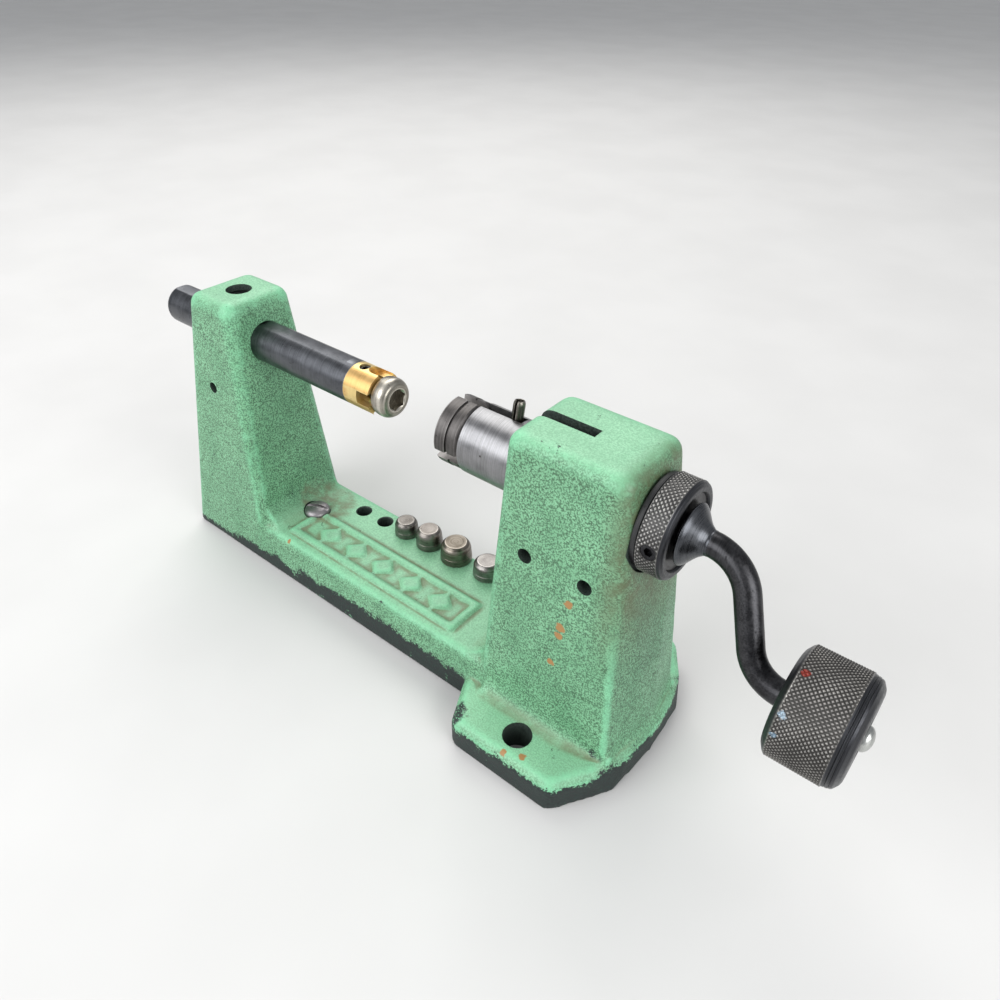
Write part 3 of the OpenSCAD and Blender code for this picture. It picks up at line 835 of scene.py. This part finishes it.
def cutter_shaft():
    low, high, r = *span("cutter_shaft"), half_width("cutter_shaft")
    outline = [(low.x, 0), (low.x, r - 0.8, 0.2), (low.x + 0.8, r, 0.2), (high.x, r, 0.1), (high.x, 0)]
    piece = lathe("cutter_shaft_bar", outline, SPINDLE_LINE)
    flat = AXIS_H + r - 0.35
    cut(piece, [block((low.x - 1, -10, flat), (high.x - 3, 10, flat + 5))])
    rim_wear(piece)
    dark, bright = (0.060, 0.063, 0.070), (0.125, 0.130, 0.142)
    finish = steel("blackened_bar", dark, bright, SPINDLE_LINE, gloss=(0.26, 0.44))
    return place(piece, "cutter_shaft", finish)


def cutter():
    """A cup with four teeth: two rounded pockets and two straight ones, cut through its wall in turns."""
    high, r = span("cutter")[1], half_width("cutter")
    left = span("cutter_shaft")[1].x
    back, bore, hole = high.x - 4.4, 4.3, 2.6
    outline = [(left, hole), (left, r, 0.12), (high.x, r, 0.06)]
    outline += [(high.x, bore, 0.06), (back, bore, 0.3), (back, hole)]
    piece = lathe("cutter_head", outline, SPINDLE_LINE, closed=True)
    tools = []
    for half in range(2):
        tool = stadium((back + 1.6, 3.2, AXIS_H + 2.5), (0, 0, 1), 8, 2.3, (9, 0, 0))
        tools.append(turn_about(tool, SPINDLE_LINE, math.radians(20 + 180 * half)))
        tool = block((back + 0.1, -1.2, AXIS_H + 2.6), (high.x + 1, 2.6, AXIS_H + 9))
        tools.append(turn_about(tool, SPINDLE_LINE, math.radians(95 + 180 * half)))
    tools.append(rod((middle("cutter_set_screw").x, 0, AXIS_H + 2), (0, 0, 1), 8, 1.6))
    cut(piece, tools)
    rim_wear(piece)
    look = {"gloss": (0.30, 0.46), "lines": 0.2, "wear": 0.25, "metallic": 0.85}
    finish = steel("gold_nitride", (0.570, 0.350, 0.120), (0.720, 0.480, 0.195), SPINDLE_LINE, **look)
    return place(piece, "cutter", finish, 28)


def cutter_pilot():
    """The fitted pilot, with a hexagon socket in its rounded end."""
    front, r = span("cutter_pilot")[1].x, half_width("cutter_pilot")
    back = front - 5.3
    stem, across = 2.35, 5.6
    outline = [
        (back - 4, 0), (back - 4, stem), (back, stem), (back, r - 2.2, 0.2),
        (back + 0.3, r - 0.3, 0.4), (back + 1.9, r, 0.5), (front - 1.7, r, 0.8),
        (front - 0.35, r - 0.85, 0.5), (front, r - 1.7, 0.4), (front, 0),
    ]
    piece = lathe("fitted_pilot", outline, SPINDLE_LINE)
    socket = rod((front - 3.2, 0, AXIS_H), (1, 0, 0), 5, across / math.sqrt(3), sides=6, turn=0.2)
    countersink = rod((front - 0.5, 0, AXIS_H), (1, 0, 0), 0.7, 2.75, 3.45)
    cut(piece, [socket, countersink])
    rim_wear(piece)
    dark, bright = (0.170, 0.155, 0.128), (0.420, 0.395, 0.345)
    finish = steel("pilot_bright", dark, bright, SPINDLE_LINE, gloss=(0.28, 0.42))
    return place(piece, "cutter_pilot", finish)


# ---------------------------------------------------------------- the spindle side


def sleeve_finish():
    """Ground steel with stains and pits, dark from the stop collar to the crank."""
    f = Finish("sleeve_ground_steel")
    rings = f.noise(3800, 3, 0.7, f.turned(SPINDLE_LINE))
    cloud = f.noise(170, 5, 0.7)
    stains = f.rise(f.noise(420, 4, 0.7), 0.56, 0.72)
    tone = f.math("ADD", f.math("MULTIPLY", rings, 0.55), f.math("MULTIPLY", cloud, 0.45))
    colour = f.mix(f.rise(tone, 0.3, 0.7), (0.150, 0.150, 0.154, 1), (0.310, 0.310, 0.318, 1))
    colour = f.mix(f.math("MULTIPLY", stains, 0.35), colour, (0.20, 0.19, 0.18, 1))
    for pit, size in (((-28.5, -9, 76.6), 0.42), ((-26.4, -9.1, 80.4), 0.36), ((-30.8, -8.6, 74.2), 0.3)):
        colour = f.mix(f.near(pit, size, 0.3, 2500), colour, (0.06, 0.055, 0.05, 1))
    collar = span("stop_collar")[0].x
    under = f.rise(f.axes()[0], (collar - 1) * MM, collar * MM)
    colour = f.mix(under, colour, (0.022, 0.022, 0.024, 1))
    roughness = f.math("ADD", f.rise(tone, 0.25, 0.75, 0.26, 0.40), f.math("MULTIPLY", stains, 0.12))
    return f.finish(colour, roughness, 1.0, [(rings, 0.22, 0.02), (f.noise(2400, 3, 0.7), 0.08, 0.02)])


def spindle_sleeve():
    low, high, r = *span("spindle_sleeve"), half_width("spindle_sleeve")
    front, end = low.x, high.x
    mouth, bore, narrow = 8.95, 7.6, 4.6
    outline = [
        (front, mouth, 0.1), (front, r, 0.25), (end, r, 0.2), (end, narrow), (end - 10, narrow),
        (end - 10, bore), (front + 1.6, bore, 0.2),
    ]
    piece = lathe("spindle_sleeve_tube", outline, SPINDLE_LINE, closed=True, sides=160)
    slot_end = PIN_X + PIN_R + 0.9
    slot = block((front - 1, -PIN_SLOT / 2, AXIS_H + 3), (slot_end, PIN_SLOT / 2, AXIS_H + 15))
    cut(piece, [turn_about(slot, SPINDLE_LINE, -SPINDLE_ANGLE)])
    rim_wear(piece)
    return place(piece, "spindle_sleeve", sleeve_finish())


def collet():
    """Three jaws parted by saw cuts, with a narrow groove round them and a taper into the sleeve."""
    low, high = span("collet")
    front = low.x
    sleeve = span("spindle_sleeve")[0].x
    r, neck, bore = 9.4, 7.5, 5.4
    outline = [
        (front, 6.0, 0.2), (front, r, 0.35), (front + 3.5, r, 0.12), (front + 3.65, r - 0.55, 0.05),
        (front + 4.15, r - 0.55, 0.05), (front + 4.3, r - 0.12, 0.1), (sleeve - 1.1, r - 0.12, 0.1),
        (sleeve + 1.14, neck - 0.08), (high.x, neck), (high.x, bore), (front + 4, bore, 0.3),
        (front + 2.2, 5.9, 0.2),
    ]
    piece = lathe("collet_jaws", outline, SPINDLE_LINE, closed=True, sides=160)
    saw, end = 2.8, PIN_X - 3.1
    tools = []
    for third in range(3):
        tool = block((front - 1, -saw / 2, AXIS_H + 2), (end, saw / 2, AXIS_H + 14))
        tools.append(turn_about(tool, SPINDLE_LINE, 2 * math.pi * third / 3 - SPINDLE_ANGLE))
    cut(piece, tools)
    rim_wear(piece)
    look = {"gloss": (0.34, 0.52), "wear": 0.55, "scale": 4200}
    finish = steel("collet_dark_steel", (0.060, 0.056, 0.054), (0.150, 0.142, 0.138), SPINDLE_LINE, **look)
    return place(piece, "collet", finish)


def collet_pin():
    """A strip of spring steel rolled into a tube, its slit towards the cutter."""
    foot = AXIS_H + 5.6
    top = AXIS_H + (PIN_HIGH.z - AXIS_H) / math.cos(SPINDLE_ANGLE) - 0.3
    wall, half_slit = 0.55, 0.35
    outline = [
        (foot, PIN_R - wall, 0.05), (foot, PIN_R, 0.1), (top - 0.7, PIN_R, 0.3),
        (top, PIN_R - 0.28, 0.12), (top, PIN_R - wall, 0.08),
    ]
    piece = lathe("collet_rolled_pin", outline, (PIN_X, 0, 0), (0, 0, 1), 64, closed=True)
    cut(piece, [block((PIN_X - half_slit, -3, foot - 1), (PIN_X + half_slit, 0, top + 1))])
    turn_about(piece, SPINDLE_LINE, -SPINDLE_ANGLE)
    rim_wear(piece)
    dark, bright = (0.090, 0.082, 0.070), (0.240, 0.225, 0.200)
    finish = steel("pin_spring_steel", dark, bright, (PIN_X, 0, 0), 2, (0.28, 0.42))
    return place(piece, "collet_pin", finish)


def stop_collar():
    low, high, r = *span("stop_collar"), half_width("stop_collar")
    left, right = low.x, high.x
    hole = span("spindle_sleeve")[1].y + 0.02
    outline = [
        (left, hole, 0.1), (left, r - 0.7, 0.15), (left + 0.5, r, 0), (right - 1.15, r, 0),
        (right - 0.95, r - 0.22, 0.05), (right - 0.45, r - 0.35, 0.15), (right, r - 1.15, 0.2),
        (right, hole + 0.3, 0.12), (right - 0.6, hole, 0.1),
    ]
    pitch, depth = 1.22, 0.34
    knurl = (left + 0.5, right - 1.15, r, pitch, depth)
    piece = lathe("stop_collar_ring", outline, SPINDLE_LINE, closed=True, knurl=knurl)
    centre = middle("stop_collar_screw")
    out = Vector((0, centre.y, centre.z - AXIS_H)).normalized()
    where = Vector((centre.x, 0, AXIS_H)) + out * (hole - 1)
    countersink = rod(where + out * (r - hole + 0.55), out, 2, 1.9, 2.9)
    cut(piece, [rod(where, out, 8, 1.95), countersink])
    rim_wear(piece, 3, 0.05)
    return place(piece, "stop_collar", collar_finish(), 60)


def crank_hub():
    low, high = span("crank_hub")
    left, right = low.x, high.x
    base, neck = half_width("crank_hub"), 3.12
    outline = [
        (left, 0), (left, base - 0.35, 0.15), (left + 0.45, base, 0.2),
        (left + 1.0, base - 0.35, 0.2), (left + 1.5, base - 0.85, 0.3),
        (right - 1.2, neck + 1.0, 0.8), (right + 0.2, neck, 0.6), (right + 0.8, neck, 0.1),
        (right + 0.8, 0),
    ]
    piece = lathe("crank_hub_cone", outline, SPINDLE_LINE)
    rim_wear(piece)
    dark, bright = (0.050, 0.053, 0.060), (0.115, 0.120, 0.130)
    finish = steel("hub_steel", dark, bright, SPINDLE_LINE, gloss=(0.22, 0.36))
    return place(piece, "crank_hub", finish)


def crank_path():
    """The bent rod's centre line, straight down in the XZ plane: (x, height over the spindle line)."""
    start = span("crank_hub")[1].x
    knob = span("crank_knob")[0].x
    bend_1, bend_2, angle, steps = 12.2, 10.2, math.radians(66), 18
    bend_x = start + 0.6
    drop = CRANK_THROW - (bend_1 + bend_2) * (1 - math.cos(angle))
    leg = drop / math.sin(angle)
    turns = [angle * k / steps for k in range(steps + 1)]
    path = [(start - 1, 0), (start, 0)]
    path += [(bend_x + bend_1 * math.sin(a), -bend_1 * (1 - math.cos(a))) for a in turns]
    end_x = path[-1][0] + leg * math.cos(angle) + bend_2 * math.sin(angle)
    path += [(end_x - bend_2 * math.sin(a), -CRANK_THROW + bend_2 * (1 - math.cos(a))) for a in turns[::-1]]
    return [*path, (knob - 0.3, -CRANK_THROW)]


def crank_arm():
    """A round rod bent twice: out of the hub, down, and along to the knob."""
    path, radius, sides = crank_path(), 3.05, 72
    points = []
    for k, (x, z) in enumerate(path):
        before, after = path[max(k - 1, 0)], path[min(k + 1, len(path) - 1)]
        way = Vector((after[0] - before[0], 0, after[1] - before[1])).normalized()
        up = Vector((-way.z, 0, way.x))
        for a in (2 * math.pi * s / sides for s in range(sides)):
            offset = (up * math.cos(a) + Vector((0, 1, 0)) * math.sin(a)) * radius
            points.append(Vector((x, 0, AXIS_H + z)) + offset)
    last = len(points) - sides
    ends = [list(range(sides))[::-1], list(range(last, last + sides))]
    piece = mesh_object("crank_bent_rod", points, strip_faces(len(path), sides) + ends)
    face_outward(piece)
    turn_about(piece, SPINDLE_LINE, -CRANK_ANGLE)
    set_value(piece.data, "edge", np.zeros(len(piece.data.vertices)))
    look = {"gloss": (0.24, 0.44), "lines": 0.15, "scale": 2400}
    finish = steel("arm_blackened_rod", (0.026, 0.026, 0.028), (0.066, 0.066, 0.070), SPINDLE_LINE, **look)
    return place(piece, "crank_arm", finish)


def crank_knob():
    low, high = span("crank_knob")
    r = (high.z - low.z) / 2
    left, right = low.x, high.x
    hole, pitch, depth = 2.15, 1.12, 0.36
    outline = [
        (left, hole), (left, r - 2.0, 0.3), (left + 0.9, r - 0.6, 0.3), (left + 1.55, r, 0),
        (right - 3.3, r, 0), (right - 3.1, r - 0.3, 0.1), (right - 2.65, r - 0.35, 0.05),
        (right - 2.55, r - 0.55, 0.04), (right - 2.4, r - 0.4, 0.05), (right - 1.9, r - 0.5, 0.05),
        (right - 1.8, r - 0.7, 0.04), (right - 1.65, r - 0.6, 0.05), (right - 1.15, r - 0.85, 0.15),
        (right - 0.25, r - 2.2, 0.3), (right, r - 3.2, 0.3), (right, 4.6, 0.2),
        (right - 0.6, 4.2, 0.1), (right - 0.6, hole),
    ]
    knurl = (left + 1.55, right - 3.3, r, pitch, depth)
    piece = lathe("crank_knob_grip", outline, KNOB_LINE, closed=True, knurl=knurl)
    rim_wear(piece, 3, 0.05)
    return place(piece, "crank_knob", knob_finish(), 60)


def knob_pin():
    low, high = span("knob_pin")
    stem, head = 2.1, 2.9
    base = span("crank_knob")[1].x - 0.3
    outline = [(low.x, 0), (low.x, stem), (base, stem), (base, head, 0.1)]
    outline += [*dome(base, 0.45, high.x - base, head), (high.x, 0)]
    piece = lathe("knob_rivet", outline, KNOB_LINE, sides=72)
    rim_wear(piece)
    dark, bright = (0.330, 0.340, 0.330), (0.560, 0.570, 0.550)
    finish = steel("rivet_bright", dark, bright, KNOB_LINE, gloss=(0.26, 0.38))
    return place(piece, "knob_pin", finish)


# ---------------------------------------------------------------- the base bar's small pieces


def stored_pilot(number, dark, bright):
    """A spare pilot, upside down in its hole: leaning sides, a turned shoulder and a flat top."""
    node = f"stored_pilot_{number}"
    low, high, r = *span(node), half_width(node)
    centre, top = middle(node), high.z
    tall, stem = top - BASE_TOP, STORAGE["dims"]["r_mm"] - STEM_GAP
    outline = [
        (low.z, 0), (low.z, stem, 0.3), (BASE_TOP, stem), (BASE_TOP, r - 0.25, 0.2),
        (BASE_TOP + 0.4, r, 0.2), (BASE_TOP + tall * 0.36, r * 0.985, 0.05),
        (BASE_TOP + tall * 0.38, r * 0.965, 0.05), (BASE_TOP + tall * 0.70, r * 0.945, 0.3),
        (BASE_TOP + tall * 0.86, r * 0.88, 0.5), (top, r * 0.70, 0.35), (top, 0),
    ]
    piece = lathe(f"spare_pilot_{number}", outline, (centre.x, centre.y, 0), (0, 0, 1), 96)
    rim_wear(piece)
    finish = steel(f"spare_pilot_steel_{number}", dark, bright, centre, 2, (0.26, 0.42), wear=0.6)
    return place(piece, node, finish)


def hold_down_screw():
    """A domed screw with a straight slot, standing in the base bar."""
    node = "hold_down_screw"
    low, high, r, centre = *span(node), half_width(node), middle(node)
    stem = 2.4
    outline = [(low.z, 0), (low.z, stem), (BASE_TOP, stem), (BASE_TOP, r, 0.15)]
    outline += [*dome(BASE_TOP, 0.5, high.z - BASE_TOP, r, 0.85), (high.z, 0)]
    piece = lathe("hold_down_dome_screw", outline, (centre.x, centre.y, 0), (0, 0, 1), 96)
    slot = block((-6, -0.6, 0), (6, 0.6, 6))
    slot.data.transform(Matrix.Rotation(math.radians(25), 4, "Z"))
    slot.data.transform(Matrix.Translation(Vector((centre.x, centre.y, BASE_TOP + 1.3)) * MM))
    cut(piece, [slot])
    rim_wear(piece)
    finish = steel("dull_plating", (0.230, 0.215, 0.225), (0.380, 0.360, 0.370), centre, 2, (0.38, 0.55))
    return place(piece, node, finish)


def dressed_nodes():
    """The pieces that are shown as the CAD has them, with softened edges."""
    dark, bright = (0.020, 0.020, 0.022), (0.055, 0.055, 0.060)
    black = steel("screw_blackened", dark, bright, SPINDLE_LINE, 2, (0.30, 0.45))
    for node in ("cutter_set_screw", "stop_collar_screw", "shaft_lock_screw"):
        dress(node, black)
    # the washer's near-black is its own dark oiled colour and also painted shade of the gap between collar and
    # pillar
    look = {"gloss": (0.45, 0.6), "metallic": 0.1}
    oiled_and_shaded = steel("washer_oiled", (0.012, 0.012, 0.013), (0.028, 0.028, 0.030), SPINDLE_LINE, **look)
    dress("thrust_washer", oiled_and_shaded)
    dress("drawbar", steel("drawbar_turned", (0.120, 0.120, 0.125), (0.260, 0.260, 0.265), SPINDLE_LINE))


# ---------------------------------------------------------------- build

casting()
cutter_shaft()
cutter()
cutter_pilot()
spindle_sleeve()
collet()
collet_pin()
stop_collar()
crank_hub()
crank_arm()
crank_knob()
knob_pin()
hold_down_screw()
for number, dark, bright in (
    (1, (0.085, 0.078, 0.070), (0.240, 0.226, 0.208)),
    (2, (0.095, 0.085, 0.076), (0.260, 0.240, 0.220)),
    (3, (0.075, 0.064, 0.050), (0.240, 0.215, 0.182)),
    (4, (0.110, 0.102, 0.096), (0.300, 0.286, 0.270)),
):
    stored_pilot(number, dark, bright)
dressed_nodes()


# ---------------------------------------------------------------- floor, light and camera


def floor():
    f = Finish("pale_floor")
    tone = f.noise(14, 3, 0.5)
    colour = f.mix(f.rise(tone, 0.3, 0.7), (0.640, 0.635, 0.625, 1), (0.670, 0.665, 0.655, 1))
    material = f.finish(colour, 0.75, 0.0, [(f.noise(900, 2), 0.04, 0.05)])
    half = 4000.0
    corners = [(-half, -half, 0), (half, -half, 0), (half, half, 0), (-half, half, 0)]
    ground = mesh_object("floor", corners, [(0, 1, 2, 3)])
    ground.data.materials.append(material)


def area_light(name, place_at, aim, size, power, colour):
    lamp = bpy.data.lights.new(name, "AREA")
    lamp.shape = "RECTANGLE"
    lamp.size, lamp.size_y = size
    lamp.energy = power
    lamp.color = colour
    made = link(lamp, name)
    made.location = place_at
    made.rotation_mode = "QUATERNION"
    made.rotation_quaternion = (Vector(aim) - Vector(place_at)).to_track_quat("-Z", "Y")


def studio():
    aim = (-0.05, 0.0, 0.04)
    area_light("window", (-0.55, 0.45, 0.85), aim, (0.9, 0.7), 6.5, (1.0, 0.985, 0.96))
    area_light("front_fill", (-0.35, -0.75, 0.55), aim, (0.9, 0.7), 7.5, (0.985, 0.99, 1.0))
    area_light("side_fill", (0.8, -0.15, 0.45), aim, (0.6, 0.6), 5.5, (1.0, 1.0, 1.0))
    world = bpy.data.worlds.new("studio")
    world.use_nodes = True
    sky = world.node_tree.nodes["Background"]
    sky.inputs["Color"].default_value = (0.80, 0.82, 0.85, 1)
    sky.inputs["Strength"].default_value = 0.55
    bpy.context.scene.world = world


def camera():
    """A phone-like view from the front right, seen from above."""
    azimuth, elevation, roll = (math.radians(v) for v in (38.40, 37.28, 0.861))
    place_at = Vector((76.77, -131.24, 188.73)) * MM
    level = Vector((math.sin(azimuth), -math.cos(azimuth), 0))
    back = level * math.cos(elevation) + Vector((0, 0, math.sin(elevation)))
    lens = bpy.data.cameras.new("camera")
    lens.sensor_width = 36.0
    lens.lens = 28.457
    lens.clip_start, lens.clip_end = 0.01, 20
    made = link(lens, "camera")
    made.location = place_at
    made.rotation_mode = "QUATERNION"
    aim = (-back).to_track_quat("-Z", "Y")
    made.rotation_quaternion = aim @ Matrix.Rotation(roll, 3, "Z").to_quaternion()
    bpy.context.scene.camera = made


floor()
studio()
camera()
bpy.context.scene.view_settings.view_transform = "Standard"
bpy.context.view_layer.update()
